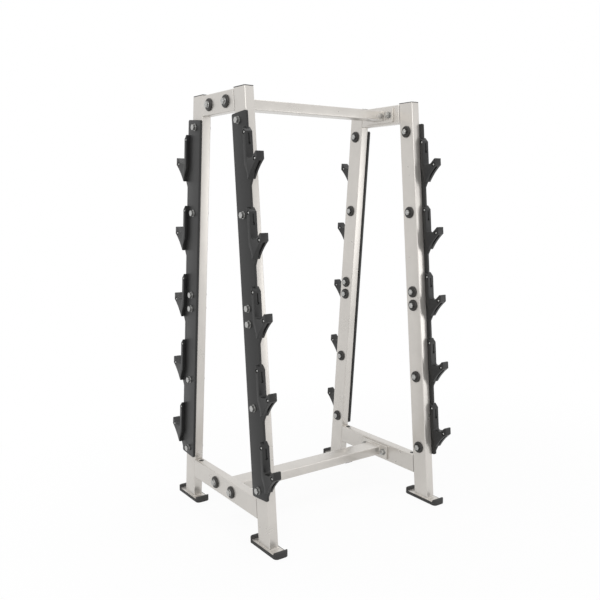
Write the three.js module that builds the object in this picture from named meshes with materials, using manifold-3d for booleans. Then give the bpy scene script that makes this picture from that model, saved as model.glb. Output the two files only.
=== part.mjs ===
// Ten-bar barbell storage rack: two leaning side frames of rectangular tube, joined by two spreaders,
// with a steel hook plate on the outside of each upright and a plastic saddle on each of its five hooks.
// Millimetres. X runs along the stored bars, with the left side frame at -X. Y is the depth, with the
// front uprights at -Y. Z is up, and the origin is on the floor at the middle of the rack.

import * as THREE from 'three';
import { mergeVertices } from 'three/addons/utils/BufferGeometryUtils.js';
import Module from 'manifold-3d';

const wasm = await Module();
wasm.setup();

// Overall
const rackHeight = 1640;
const frameWidth = 820;
const stanceHalfDepth = 295;
const topHalfDepth = 151.5;
const jointGap = 0.3;
const cutOverrun = 5;

// Rectangular tube, used for every member of the frame
const tubeWide = 76.2;
const tubeNarrow = 38.1;
const tubeWall = 3;
const tubeCorner = 4;

// Crossmembers of a side frame
const topCrossmemberDrop = 5;
const bottomCrossmemberRise = 100.6;
const ventDiameter = 20;
const ventFromMiddle = 218;

// End plates of the spreaders
const endPlateHeight = 60;
const endPlateThickness = 8;
const spreaderBoltClear = 23.9;
const spreaderBoltMargin = 22;
const drainDiameter = 8;

// Feet and caps
const bootLength = 178;
const bootWidth = 58;
const bootSideWall = 2.5;
const bootEndWall = 8;
const bootFloor = 7;
const bootBandHeight = 12.5;
const bootLipHeight = 23.5;
const bootLipTop = 12;
const bootLipBase = 17;
const bootCorner = 15;
const footPlateThickness = 6;
const footPlateCorner = 10;
const capThickness = 2;
const capPlugDepth = 20;

// Hook plates. Heights are measured along the upright.
const hookPlateThickness = 9.5;
const hookPlateBack = 41.4;
const hookPlateFront = 53.5;
const hookPlateBelowTop = 91;
const hookPlateAboveFloor = 194.6;
const hookPlateCorner = 9;
const hookCount = 5;
const firstNoseDrop = 149.4;
const lastNoseRise = 120.4;
const plateBoltInset = 27;
const middleBoltPitch = 55.6;
const hookRootDrop = 107;
const hookRecess = 8;

// Saddles. Lengths out are from the front edge of the hook plate, heights from the top of the nose.
const saddleWidth = 26;
const saddleWall = 7.5;
const saddleLap = 8.5;
const saddleBackRise = 92;
const saddleBackChamfer = 12.5;
const cradleRun = 37;
const rampRun = 22;
const rampRise = 19.5;
const noseLand = 7;
const noseFace = 26;
const tailDrop = 86;
const tailFront = 12.5;
const tailBack = 6;
const tailHeight = 19;
const lapDrop = 35;
const undersideHollow = 4;
const earDiameter = 17;
const earRise = 73.5;
const earBehind = 3.7;

// Through bolts with their bezels, washers and nuts
const boltDiameter = 12;
const boltHoleDiameter = 13;
const hexAcrossFlats = 20.5;
const hexChamfer = 1.5;
const headHeight = 9.7;
const nutProud = 7.5;
const washerDiameter = 27;
const washerThickness = 2.5;
const bezelDiameter = 47;
const bezelTopDiameter = 34;
const bezelEdge = 4;
const bezelThickness = 8;

// Facet counts
const cornerSteps = 3;
const holeSteps = 10;
const ringSteps = 14;
const hexSides = 6;

// Finishes
const finishes = {
	frame: { color: 0xd0cbc5, roughness: 0.42, metalness: 0.35 },
	plate: { color: 0x4f4f4e, roughness: 0.5, metalness: 0.3 },
	saddle: { color: 0x464543, roughness: 0.6, metalness: 0 },
	rubber: { color: 0x444342, roughness: 0.75, metalness: 0 },
	cap: { color: 0x2f2e2d, roughness: 0.6, metalness: 0 },
	bolt: { color: 0xb5b5b3, roughness: 0.3, metalness: 0.85 },
};

// Places that follow from the sizes above
const middleShare = 0.5;
const quarterTurn = Math.PI / 2;
const halfTurn = Math.PI;
const leanAngle = Math.atan2( stanceHalfDepth - topHalfDepth, rackHeight );
const frameX = ( frameWidth - tubeNarrow ) / 2;
const frameInnerX = frameWidth / 2 - tubeNarrow;
const uprightReach = rackHeight / Math.cos( leanAngle );
const plateTop = uprightReach - hookPlateBelowTop;
const plateBottom = hookPlateAboveFloor;
const spreaderBoltPitch = tubeWide + 2 * spreaderBoltClear;
const endPlateLength = spreaderBoltPitch + 2 * spreaderBoltMargin;
const topCrossmemberZ = rackHeight - topCrossmemberDrop - tubeWide / 2;
const bottomCrossmemberZ = bottomCrossmemberRise + tubeWide / 2;
const footPlateBase = bootFloor + jointGap;
const footPlateTop = footPlateBase + footPlateThickness;
const uprightFoot = footPlateTop + jointGap;
const capBase = rackHeight - capThickness;
const uprightTop = capBase - jointGap;

// Solids: three.js geometry in and out of the boolean kernel

function solidOf( geometry ) {

	geometry.deleteAttribute( 'normal' );
	geometry.deleteAttribute( 'uv' );
	const merged = mergeVertices( geometry );
	return new wasm.Manifold( new wasm.Mesh( {
		numProp: 3,
		vertProperties: new Float32Array( merged.attributes.position.array ),
		triVerts: new Uint32Array( merged.index.array ),
	} ) );

}

function geometryOf( solid ) {

	const mesh = solid.getMesh();
	const geometry = new THREE.BufferGeometry();
	geometry.setAttribute( 'position', new THREE.BufferAttribute( mesh.vertProperties, 3 ) );
	geometry.setIndex( new THREE.BufferAttribute( mesh.triVerts, 1 ) );
	geometry.computeVertexNormals();
	return geometry;

}

function cut( solid, tools ) {

	return tools.reduce( ( left, tool ) => left.subtract( tool ), solid );

}

function rodAlongX( diameter, length, x, y, z ) {

	const rod = new THREE.CylinderGeometry( diameter / 2, diameter / 2, length, holeSteps );
	return solidOf( rod.rotateZ( quarterTurn ).translate( x, y, z ) );

}

function rodAlongZ( diameter, length, x, y, z ) {

	const rod = new THREE.CylinderGeometry( diameter / 2, diameter / 2, length, holeSteps );
	return solidOf( rod.rotateX( quarterTurn ).translate( x, y, z ) );

}

// Outlines

function roundedRectangle( width, height, radius, outline = new THREE.Shape() ) {

	const x = width / 2 - radius;
	const y = height / 2 - radius;
	outline.absarc( x, y, radius, 0, quarterTurn, false );
	outline.absarc( - x, y, radius, quarterTurn, halfTurn, false );
	outline.absarc( - x, - y, radius, halfTurn, halfTurn + quarterTurn, false );
	outline.absarc( x, - y, radius, halfTurn + quarterTurn, 2 * halfTurn, false );
	return outline;

}

function tubeSection( width, height ) {

	const section = roundedRectangle( width, height, tubeCorner );
	const insideWidth = width - 2 * tubeWall;
	const insideHeight = height - 2 * tubeWall;
	section.holes.push( roundedRectangle( insideWidth, insideHeight, tubeCorner - tubeWall, new THREE.Path() ) );
	return section;

}

// Extrudes a section of unit length and carries its two ends to the heights that low and high give.
function extrudeBetween( section, low, high ) {

	const settings = { depth: 1, bevelEnabled: false, curveSegments: cornerSteps };
	const geometry = new THREE.ExtrudeGeometry( section, settings );
	const points = geometry.attributes.position;
	for ( let i = 0; i < points.count; i ++ ) {

		const x = points.getX( i );
		const y = points.getY( i );
		const end = points.getZ( i ) > 0 ? high : low;
		points.setZ( i, end( x, y ) );

	}

	return geometry;

}

function extrudeFlat( section, low, high ) {

	return extrudeBetween( section, () => low, () => high );

}

// A profile drawn in depth and height, with its thickness centred across X.
function profileAcrossX( profile, thickness ) {

	const geometry = extrudeFlat( profile, - thickness / 2, thickness / 2 );
	const toDepth = new THREE.Vector3( 0, 1, 0 );
	const toHeight = new THREE.Vector3( 0, 0, 1 );
	const toWidth = new THREE.Vector3( 1, 0, 0 );
	return geometry.applyMatrix4( new THREE.Matrix4().makeBasis( toDepth, toHeight, toWidth ) );

}

// The corners where each line of a run meets the next, each line moved to its right by an inset.
function insetCorners( lines ) {

	const moved = lines.map( ( { from, to, inset } ) => {

		const along = new THREE.Vector2().subVectors( to, from ).normalize();
		const right = new THREE.Vector2( along.y, - along.x );
		return { point: from.clone().addScaledVector( right, inset ), along };

	} );
	return moved.slice( 1 ).map( ( next, i ) => {

		const { point, along } = moved[ i ];
		const apart = new THREE.Vector2().subVectors( next.point, point );
		const reach = apart.cross( next.along ) / along.cross( next.along );
		return point.clone().addScaledVector( along, reach );

	} );

}

// The leaning frame: depth out from the middle of the upright, height along it. A level cut at a height
// over the floor crosses the upright at a slant.
function levelCut( height ) {

	return ( x, depth ) => ( height - depth * Math.sin( leanAngle ) ) / Math.cos( leanAngle );

}

function leaningPrism( section, low, high ) {

	return extrudeBetween( section, levelCut( low ), levelCut( high ) );

}

// Heights of the noses of the hooks, and of the six bolts of a hook plate, along the upright
function noseHeights() {

	const first = plateTop - firstNoseDrop;
	const last = plateBottom + lastNoseRise;
	const pitch = ( first - last ) / ( hookCount - 1 );
	return Array.from( { length: hookCount }, ( _, i ) => first - i * pitch );

}

function plateBoltHeights() {

	const top = plateTop - plateBoltInset;
	const bottom = plateBottom + plateBoltInset;
	const middle = ( plateTop + plateBottom ) / 2;
	const belowMiddle = middle - middleBoltPitch;
	return [ top, ( top + middle ) / 2, middle, belowMiddle, ( belowMiddle + bottom ) / 2, bottom ];

}

// Frame members

function makeUpright() {

	const tube = solidOf( leaningPrism( tubeSection( tubeNarrow, tubeWide ), uprightFoot, uprightTop ) );
	const through = tubeNarrow + 2 * cutOverrun;
	const holes = plateBoltHeights().map( ( height ) => rodAlongX( boltHoleDiameter, through, 0, 0, height ) );
	return cut( tube, holes );

}

function makeCap() {

	const lidOutline = roundedRectangle( tubeNarrow, tubeWide, tubeCorner );
	const lid = solidOf( leaningPrism( lidOutline, capBase, rackHeight ) );
	const clearWall = 2 * ( tubeWall + jointGap );
	const plugOutline = roundedRectangle( tubeNarrow - clearWall, tubeWide - clearWall, tubeCorner - tubeWall );
	const plug = solidOf( leaningPrism( plugOutline, capBase - capPlugDepth, capBase + capThickness / 2 ) );
	return lid.add( plug );

}

// Half the length of a crossmember at a height over the floor, where it butts the leaning upright.
function crossmemberReach( height ) {

	const flank = ( tubeWide / 2 + jointGap ) / Math.cos( leanAngle );
	return stanceHalfDepth - flank - height * Math.tan( leanAngle );

}

function makeCrossmember( centreZ, vented ) {

	const reach = ( x, y ) => crossmemberReach( centreZ + y );
	const geometry = extrudeBetween( tubeSection( tubeNarrow, tubeWide ), ( x, y ) => - reach( x, y ), reach );
	geometry.rotateX( quarterTurn );
	const bolts = [ - 1, 1 ].map( ( way ) => {

		return rodAlongX( boltHoleDiameter, tubeNarrow + 2 * cutOverrun, 0, way * spreaderBoltPitch / 2, 0 );

	} );
	const vents = [ - 1, 1 ].map( ( way ) => {

		return rodAlongZ( ventDiameter, tubeWide / 2, 0, way * ventFromMiddle, tubeWide / 2 );

	} );
	return cut( solidOf( geometry ), vented ? bolts.concat( vents ) : bolts );

}

function makeSpreader() {

	const plateFace = frameInnerX - jointGap;
	const plateMiddle = plateFace - endPlateThickness / 2;
	const tube = extrudeFlat( tubeSection( tubeNarrow, tubeWide ), - plateMiddle, plateMiddle );
	let spreader = solidOf( tube.rotateY( quarterTurn ) );
	for ( const way of [ - 1, 1 ] ) {

		const plate = new THREE.BoxGeometry( endPlateThickness, endPlateLength, endPlateHeight );
		spreader = spreader.add( solidOf( plate.translate( way * plateMiddle, 0, 0 ) ) );

	}

	const through = endPlateThickness + 2 * cutOverrun;
	for ( const way of [ - 1, 1 ] ) {

		spreader = cut( spreader, [
			rodAlongX( boltHoleDiameter, through, way * plateMiddle, - spreaderBoltPitch / 2, 0 ),
			rodAlongX( boltHoleDiameter, through, way * plateMiddle, spreaderBoltPitch / 2, 0 ),
			rodAlongX( drainDiameter, through, way * plateMiddle, 0, 0 ),
		] );

	}

	return spreader;

}

// Feet

const pocketWidth = bootWidth - 2 * bootSideWall;
const pocketLength = bootLength - 2 * bootEndWall;

function makeFootPlate() {

	const outline = roundedRectangle( pocketWidth - 2 * jointGap, pocketLength - 2 * jointGap, footPlateCorner );
	return solidOf( extrudeFlat( outline, footPlateBase, footPlateTop ) );

}

// The lips of a boot lap over the ends of the foot plate and hold it down.
function makeBoot() {

	const blockOutline = roundedRectangle( bootWidth, bootLength, bootCorner );
	const block = solidOf( extrudeFlat( blockOutline, 0, bootLipHeight ) );
	const pocketOutline = roundedRectangle( pocketWidth, pocketLength, footPlateCorner );
	const pocket = solidOf( extrudeFlat( pocketOutline, bootFloor, footPlateTop + jointGap ) );
	const lipBase = bootLength / 2 - bootLipBase;
	const lipTop = bootLength / 2 - bootLipTop;
	const lipSlope = ( lipTop - lipBase ) / ( bootLipHeight - bootBandHeight );
	const reliefTop = bootLipHeight + cutOverrun;
	const reliefHalf = lipTop + cutOverrun * lipSlope;
	const relief = new THREE.Shape( [
		new THREE.Vector2( - lipBase, bootBandHeight ),
		new THREE.Vector2( lipBase, bootBandHeight ),
		new THREE.Vector2( reliefHalf, reliefTop ),
		new THREE.Vector2( - reliefHalf, reliefTop ),
	] );
	return cut( block, [ pocket, solidOf( profileAcrossX( relief, bootWidth + 2 * cutOverrun ) ) ] );

}

// Hooks and saddles. The steel of a hook lies one wall inside the saddle's bearing faces.

const cradleEnd = saddleWall + cradleRun;
const rampEnd = cradleEnd + rampRun;
const noseEnd = rampEnd + noseLand;

function hookSteelCorners( inset, undersideInset ) {

	const backTop = new THREE.Vector2( saddleWall, saddleBackRise );
	const cradleStart = new THREE.Vector2( saddleWall, - rampRise );
	const cradleFront = new THREE.Vector2( cradleEnd, - rampRise );
	const rampTop = new THREE.Vector2( rampEnd, 0 );
	const noseTop = new THREE.Vector2( noseEnd, 0 );
	const noseLow = new THREE.Vector2( noseEnd, - noseFace );
	const tailLow = new THREE.Vector2( tailFront, - tailDrop );
	const root = new THREE.Vector2( 0, - hookRootDrop );
	return insetCorners( [
		{ from: backTop, to: cradleStart, inset: inset },
		{ from: cradleStart, to: cradleFront, inset: inset },
		{ from: cradleFront, to: rampTop, inset: inset },
		{ from: noseTop, to: noseLow, inset: inset },
		{ from: noseLow, to: tailLow, inset: undersideInset },
		{ from: tailLow, to: root, inset: 0 },
	] );

}

// The middle of a hollowed edge's control arm: the arm reaches twice as far in as the curve does.
function hollowControl( from, to, hollow ) {

	const along = new THREE.Vector2().subVectors( to, from ).normalize();
	const inwards = new THREE.Vector2( - along.y, along.x );
	return new THREE.Vector2().lerpVectors( from, to, middleShare ).addScaledVector( inwards, 2 * hollow );

}

function makeSaddle() {

	const tailLow = new THREE.Vector2( tailFront, - tailDrop );
	const noseLow = new THREE.Vector2( noseEnd, - noseFace );
	const hollow = hollowControl( tailLow, noseLow, undersideHollow );
	const outline = new THREE.Shape();
	outline.moveTo( - saddleLap, saddleBackRise );
	outline.lineTo( - saddleLap, - lapDrop );
	outline.lineTo( tailBack, tailHeight - tailDrop );
	outline.lineTo( tailBack, - tailDrop );
	outline.lineTo( tailLow.x, tailLow.y );
	outline.quadraticCurveTo( hollow.x, hollow.y, noseLow.x, noseLow.y );
	outline.lineTo( noseEnd, 0 );
	outline.lineTo( rampEnd, 0 );
	outline.lineTo( cradleEnd, - rampRise );
	outline.lineTo( saddleWall, - rampRise );
	outline.lineTo( saddleWall, saddleBackRise - saddleBackChamfer );
	const [ armTop, armFloor, armNose ] = hookSteelCorners( saddleWall - jointGap, hookRecess );
	const below = - tailDrop - cutOverrun;
	const behind = - saddleLap - cutOverrun;
	const slot = new THREE.Shape( [
		new THREE.Vector2( behind, below ),
		new THREE.Vector2( armNose.x, below ),
		armNose,
		armFloor,
		armTop,
		new THREE.Vector2( armTop.x, saddleBackRise + cutOverrun ),
		new THREE.Vector2( behind, saddleBackRise + cutOverrun ),
	] );
	const slotWidth = hookPlateThickness + 2 * jointGap;
	const body = solidOf( profileAcrossX( outline, saddleWidth ) );
	const ear = rodAlongX( earDiameter, saddleWidth, 0, - earBehind, earRise );
	return cut( body.add( ear ), [ solidOf( profileAcrossX( slot, slotWidth ) ) ] );

}

function makeHookPlate() {

	const round = hookPlateCorner;
	const downwards = halfTurn + quarterTurn;
	const outline = new THREE.Shape();
	outline.absarc( round - hookPlateBack, plateBottom + round, round, halfTurn, downwards, false );
	outline.absarc( hookPlateFront - round, plateBottom + round, round, downwards, 2 * halfTurn, false );
	const steel = hookSteelCorners( saddleWall, hookRecess ).reverse();
	for ( const nose of noseHeights().reverse() ) {

		outline.lineTo( hookPlateFront, nose - hookRootDrop );
		for ( const corner of steel ) outline.lineTo( hookPlateFront + corner.x, nose + corner.y );

	}

	outline.absarc( hookPlateFront - round, plateTop - round, round, 0, quarterTurn, false );
	outline.absarc( round - hookPlateBack, plateTop - round, round, quarterTurn, halfTurn, false );
	const through = hookPlateThickness + 2 * cutOverrun;
	const holes = plateBoltHeights().map( ( height ) => rodAlongX( boltHoleDiameter, through, 0, 0, height ) );
	return cut( solidOf( profileAcrossX( outline, hookPlateThickness ) ), holes );

}

// A through bolt along X, clamping grip centred on its middle: the nut sunk in its bezel at +X, the hex
// head on its washer at -X.
function makeBolt( grip ) {

	const seat = grip / 2 + jointGap;
	const bezelTop = seat + bezelThickness;
	const nutTop = bezelTop + nutProud;
	const washerTop = seat + washerThickness;
	const headTop = washerTop + headHeight;
	const shank = boltDiameter / 2;
	const washer = washerDiameter / 2;
	const bezel = bezelDiameter / 2;
	const turned = [
		[ 0, - washerTop ],
		[ washer, - washerTop ],
		[ washer, - seat ],
		[ shank, - seat ],
		[ shank, seat ],
		[ bezel, seat ],
		[ bezel, seat + bezelEdge ],
		[ bezelTopDiameter / 2, bezelTop ],
		[ 0, bezelTop ],
	];
	const hexRadius = hexAcrossFlats / Math.sqrt( 3 );
	const nut = [
		[ 0, seat + bezelEdge ],
		[ hexRadius, seat + bezelEdge ],
		[ hexRadius, nutTop - hexChamfer ],
		[ hexRadius - hexChamfer, nutTop ],
		[ 0, nutTop ],
	];
	const head = [
		[ 0, - headTop ],
		[ hexRadius - hexChamfer, - headTop ],
		[ hexRadius, hexChamfer - headTop ],
		[ hexRadius, - seat - washerThickness / 2 ],
		[ 0, - seat - washerThickness / 2 ],
	];
	const turn = ( profile, steps ) => {

		const points = profile.map( ( [ radius, along ] ) => new THREE.Vector2( radius, along ) );
		return solidOf( new THREE.LatheGeometry( points, steps ).rotateZ( - quarterTurn ) );

	};

	return turn( turned, ringSteps ).add( turn( head, hexSides ) ).add( turn( nut, hexSides ) );

}

// Assembly

function piece( name, geometry, finish, parent, x, y, z ) {

	const mesh = new THREE.Mesh( geometry, new THREE.MeshStandardMaterial( finishes[ finish ] ) );
	mesh.name = name;
	mesh.position.set( x, y, z );
	parent.add( mesh );
	return mesh;

}

const upright = geometryOf( makeUpright() );
const cap = geometryOf( makeCap() );
const footPlate = geometryOf( makeFootPlate() );
const boot = geometryOf( makeBoot() );
const hookPlate = geometryOf( makeHookPlate() );
const saddle = geometryOf( makeSaddle() );
const spreader = geometryOf( makeSpreader() );
const topCrossmember = geometryOf( makeCrossmember( topCrossmemberZ, false ) );
const bottomCrossmember = geometryOf( makeCrossmember( bottomCrossmemberZ, true ) );

const spreaderGrip = tubeNarrow + jointGap + endPlateThickness;
const spreaderBoltX = frameWidth / 2 - spreaderGrip / 2;
const plateSeatX = frameWidth / 2 + jointGap;
const hookPlateX = plateSeatX + hookPlateThickness / 2;
const plateGrip = tubeNarrow + jointGap + hookPlateThickness;
const plateBoltX = plateSeatX + hookPlateThickness - plateGrip / 2;
const spreaderBolt = geometryOf( makeBolt( spreaderGrip ) );
const plateBolt = geometryOf( makeBolt( plateGrip ) );

const rack = new THREE.Group();

// The corners of the rack. The front end is the rear end turned half round, so its own +X is the rack's -X.
for ( const end of [ 'rear', 'front' ] ) {

	const turned = end === 'front';
	const endGroup = new THREE.Group();
	endGroup.rotation.z = turned ? halfTurn : 0;
	rack.add( endGroup );

	const leaning = new THREE.Group();
	leaning.position.y = stanceHalfDepth;
	leaning.rotation.x = leanAngle;
	endGroup.add( leaning );

	for ( const side of [ 'left', 'right' ] ) {

		const way = ( side === 'right' ) === turned ? - 1 : 1;
		const corner = `${ end }_${ side }`;
		piece( `upright_${ corner }`, upright, 'frame', leaning, way * frameX, 0, 0 );
		piece( `upright_cap_${ corner }`, cap, 'cap', leaning, way * frameX, 0, 0 );
		piece( `foot_plate_${ corner }`, footPlate, 'frame', endGroup, way * frameX, stanceHalfDepth, 0 );
		piece( `rubber_boot_${ corner }`, boot, 'rubber', endGroup, way * frameX, stanceHalfDepth, 0 );
		piece( `hook_plate_${ corner }`, hookPlate, 'plate', leaning, way * hookPlateX, 0, 0 );

		noseHeights().forEach( ( nose, i ) => {

			const name = `saddle_${ corner }_${ i + 1 }`;
			piece( name, saddle, 'saddle', leaning, way * hookPlateX, hookPlateFront, nose );

		} );

		const [ topBolt ] = plateBoltHeights();
		const boltName = `hook_plate_bolt_${ corner }`;
		const bolt = piece( boltName, plateBolt, 'bolt', leaning, way * plateBoltX, 0, topBolt );
		bolt.rotation.z = way > 0 ? halfTurn : 0;

	}

}

// Crossmembers, and the spreaders with their bolts
for ( const [ level, crossmember, z ] of [
	[ 'top', topCrossmember, topCrossmemberZ ],
	[ 'bottom', bottomCrossmember, bottomCrossmemberZ ],
] ) {

	piece( `spreader_${ level }`, spreader, 'frame', rack, 0, 0, z );
	for ( const [ side, way ] of [ [ 'left', - 1 ], [ 'right', 1 ] ] ) {

		piece( `crossmember_${ level }_${ side }`, crossmember, 'frame', rack, way * frameX, 0, z );
		for ( const [ end, across ] of [ [ 'front', - 1 ], [ 'rear', 1 ] ] ) {

			const name = `spreader_bolt_${ level }_${ side }_${ end }`;
			const y = across * spreaderBoltPitch / 2;
			const bolt = piece( name, spreaderBolt, 'bolt', rack, way * spreaderBoltX, y, z );
			bolt.rotation.z = way > 0 ? 0 : halfTurn;

		}

	}

}

export default rack;
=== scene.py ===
"""A ten-bar barbell storage rack, built round its solids. Metres, +Z up, front at -Y."""

import math

import bmesh
import bpy
from mathutils import Matrix, Vector


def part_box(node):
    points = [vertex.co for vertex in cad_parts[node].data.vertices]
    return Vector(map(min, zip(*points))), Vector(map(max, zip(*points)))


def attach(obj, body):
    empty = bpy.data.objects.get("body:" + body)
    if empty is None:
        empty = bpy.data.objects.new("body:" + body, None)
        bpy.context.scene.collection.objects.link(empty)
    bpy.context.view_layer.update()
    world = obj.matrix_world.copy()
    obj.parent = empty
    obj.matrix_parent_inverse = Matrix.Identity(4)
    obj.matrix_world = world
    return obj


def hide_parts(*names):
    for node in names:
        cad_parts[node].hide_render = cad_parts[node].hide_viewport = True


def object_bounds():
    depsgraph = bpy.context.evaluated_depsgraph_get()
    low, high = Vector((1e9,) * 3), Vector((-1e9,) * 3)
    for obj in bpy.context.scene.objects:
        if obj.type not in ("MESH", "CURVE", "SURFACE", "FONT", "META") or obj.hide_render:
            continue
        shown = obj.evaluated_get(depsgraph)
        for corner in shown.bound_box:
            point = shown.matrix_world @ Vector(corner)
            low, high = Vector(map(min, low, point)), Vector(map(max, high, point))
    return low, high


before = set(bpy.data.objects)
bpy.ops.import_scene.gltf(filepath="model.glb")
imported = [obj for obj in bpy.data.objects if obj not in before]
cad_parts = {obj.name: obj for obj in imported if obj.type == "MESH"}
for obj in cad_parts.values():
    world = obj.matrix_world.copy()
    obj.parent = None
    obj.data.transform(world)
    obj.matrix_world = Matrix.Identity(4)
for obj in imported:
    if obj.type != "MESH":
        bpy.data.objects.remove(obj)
cad_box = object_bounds()

# Units, eased edges, and the fineness of outlines and meshes
MM = 0.001
QUARTER = math.pi / 2
SHARP_ANGLE = math.radians(32)
STRAIGHT_ANGLE = math.radians(1)
MITER_LIMIT = 0.3
MERGE_DISTANCE = MM / 1000
STEEL_BEVEL = 0.8 * MM
CUTTER_BEVEL = 0.1 * MM
BEVEL_STEPS = 3
FILLET_STEPS = 5
HOLLOW_STEPS = 7

# Stance of the frame
RACK_HEIGHT = cad_box[1].z
FRAME_HALF_WIDTH = 410 * MM
STANCE_HALF_DEPTH = 295 * MM
TOP_HALF_DEPTH = 151.5 * MM
LEAN = math.atan2(STANCE_HALF_DEPTH - TOP_HALF_DEPTH, RACK_HEIGHT)
GAP = 0.3 * MM

# Rectangular tube
TUBE_WIDE = 76.2 * MM
TUBE_NARROW = 38.1 * MM
TUBE_WALL = 3 * MM
TUBE_CORNER = 4 * MM
TUBE_END_BEVEL = 1.1 * MM
FRAME_X = FRAME_HALF_WIDTH - TUBE_NARROW / 2
FRAME_INNER_X = FRAME_HALF_WIDTH - TUBE_NARROW

# Feet and caps
BOOT_SIZE = (58 * MM, 178 * MM)
BOOT_POCKET = (53 * MM, 162 * MM)
BOOT_FLOOR = 7 * MM
BOOT_BAND_HEIGHT = 12.5 * MM
BOOT_LIP_HEIGHT = 23.5 * MM
BOOT_LIP_TOP = 12 * MM
BOOT_LIP_BASE = 17 * MM
BOOT_CORNER = 15 * MM
BOOT_BEVEL = 1.8 * MM
BOOT_LIP_FILLET = 3 * MM
BOOT_POCKET_BEVEL = 0.2 * MM
FOOT_PLATE_THICKNESS = 6 * MM
FOOT_PLATE_CORNER = 10 * MM
CAP_THICKNESS = 2 * MM
CAP_BEVEL = 0.7 * MM
CAP_PLUG_DEPTH = 20 * MM
UPRIGHT_FOOT = BOOT_FLOOR + FOOT_PLATE_THICKNESS + 2 * GAP

# Spreader end plates, and the crossmembers' vents and mitre seams
END_PLATE = (8 * MM, 168 * MM, 60 * MM)
END_PLATE_CORNER = 5 * MM
SPREADER_BOLT_PITCH = 124 * MM
VENT_DIAMETER = 20 * MM
VENT_FROM_MIDDLE = 218 * MM
VENT_PLUG_DEPTH = 4 * MM
VENT_PLUG_PLAY = 0.2 * MM
VENT_PLUG_SUNK = 0.4 * MM
VENT_PLUG_EDGE = 0.8 * MM
MITRE_SEAM = 1.2 * MM

# Weld beads
END_WELD_RADIUS = 2.4 * MM
END_WELD_OFFSET = 0.4 * MM
FOOT_WELD_RADIUS = 2.2 * MM
WELD_PITCH = 3.2 * MM
WELD_RIPPLE = 0.16
WELD_SIDES = 8

# Hook plates, with heights along the upright
PLATE_THICKNESS = 9.5 * MM
PLATE_BACK = 42.4 * MM
PLATE_FRONT = 53.5 * MM
PLATE_TOP = RACK_HEIGHT / math.cos(LEAN) - 91 * MM
PLATE_BOTTOM = 194.6 * MM
PLATE_FOOT = 2.2 * MM
PLATE_CORNER = 7 * MM
PLATE_X = FRAME_HALF_WIDTH + GAP + PLATE_THICKNESS / 2
HOOK_COUNT = 5
FIRST_NOSE = PLATE_TOP - 149.4 * MM
LAST_NOSE = PLATE_BOTTOM + 120.4 * MM
PLATE_BOLT_INSET = 27 * MM
MIDDLE_BOLT_PITCH = 55.6 * MM
HOOK_ROOT_DROP = 107 * MM
HOOK_RECESS = 8 * MM
HOOK_ROOT_FILLET = 12 * MM
HOOK_FILLETS = (6 * MM, 3 * MM, 2 * MM, 5 * MM, 2 * MM)

# Saddles, out from the front edge of the hook plate and up from the top of the hook's nose
SADDLE_WIDTH = 30.4 * MM
SADDLE_SHIFT = 2.2 * MM
SADDLE_BEVEL = 1.1 * MM
SADDLE_CORNER = 1.6 * MM
SADDLE_EDGE = 2 * MM
SADDLE_BEND = 4 * MM
SADDLE_WALL = 7.5 * MM
SADDLE_LAP = 8.5 * MM
SADDLE_RISE = 96 * MM
SADDLE_CHAMFER = 19.5 * MM
CRADLE_END = SADDLE_WALL + 35 * MM
RAMP_END = CRADLE_END + 23.5 * MM
RAMP_RISE = 17.5 * MM
RAMP_FOOT_FILLET = 14 * MM
WALL_FOOT_FILLET = 8 * MM
NOSE_END = RAMP_END + 7.5 * MM
NOSE_FACE = 26 * MM
NOSE_CROWN = 1.2 * MM
TAIL_DROP = 86 * MM
TAIL_FRONT = 12.5 * MM
TAIL_BACK = 6 * MM
TAIL_HEIGHT = 19 * MM
LAP_DROP = 35 * MM
UNDERSIDE_HOLLOW = 4 * MM
EAR_RADIUS = 8.5 * MM
GROOVE_DEPTH = 3.4 * MM
GROOVE_HALF_WIDTH = 2.4 * MM
GROOVE_SPAN = (36 * MM, 70 * MM)
GROOVE_END_FILLET = 1 * MM
GROOVE_BEVEL = 0.3 * MM
HOLE_RADIUS = 5.6 * MM
HOLE_HEIGHT = 35.7 * MM
HOLE_CENTRE = 1.4 * SADDLE_WALL
SCREW_PLACES = ((-1 * MM, 73.5 * MM), (59 * MM, -22.5 * MM))
SCREW_SEAT_DIAMETER = 15 * MM
SCREW_SEAT_DEPTH = 3.2 * MM
SCREW_DIAMETER = 8.5 * MM
SCREW_PROUD = 0.8 * MM
SCREW_RIM = 0.5 * MM
SCREW_LIFT = 0.05 * MM
SOCKET_MOUTH = 1.8 * MM
SOCKET_RADIUS = 1.6 * MM
SOCKET_FLOOR = 0.8 * MM

# Fasteners
SHANK = 6 * MM
BOLT_TIP = 0.85 * SHANK
BOLT_TIP_HEIGHT = 0.9 * MM
HEX_FLATS = 20.5 * MM
HEX_BEVEL = 0.15 * MM
HEX_FACE_INSET = 0.4 * MM
HEX_CHAMFER = 0.9 * MM
HEX_CLEAR = 0.5 * MM
HEAD_HEIGHT = 9.7 * MM
HEAD_COLLAR = 0.6 * MM
NUT_PROUD = 7.5 * MM
NUT_BELOW_TIP = 1.2 * MM
FLANGE_PROUD = 1.6 * MM
FLANGE_SLOPE = 1.2 * MM
FLANGE_NUT_LIFT = 1.5 * MM
WASHER_RADIUS = 13.5 * MM
WASHER_THICKNESS = 2.5 * MM
WASHER_EDGE = 0.4 * MM
BEZEL_RADIUS = 23.5 * MM
BEZEL_THICKNESS = 8 * MM
BEZEL_WELL = 12.4 * MM
BEZEL_WELL_DEPTH = 2 * MM
BEZEL_WELL_EDGE = 0.8 * MM
BEZEL_FOOT = (0.5 * MM, 0.6 * MM)
BEZEL_SIDE = 2.6 * MM
BEZEL_DOME = 6.5 * MM
BEZEL_DOME_STEPS = 6

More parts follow.
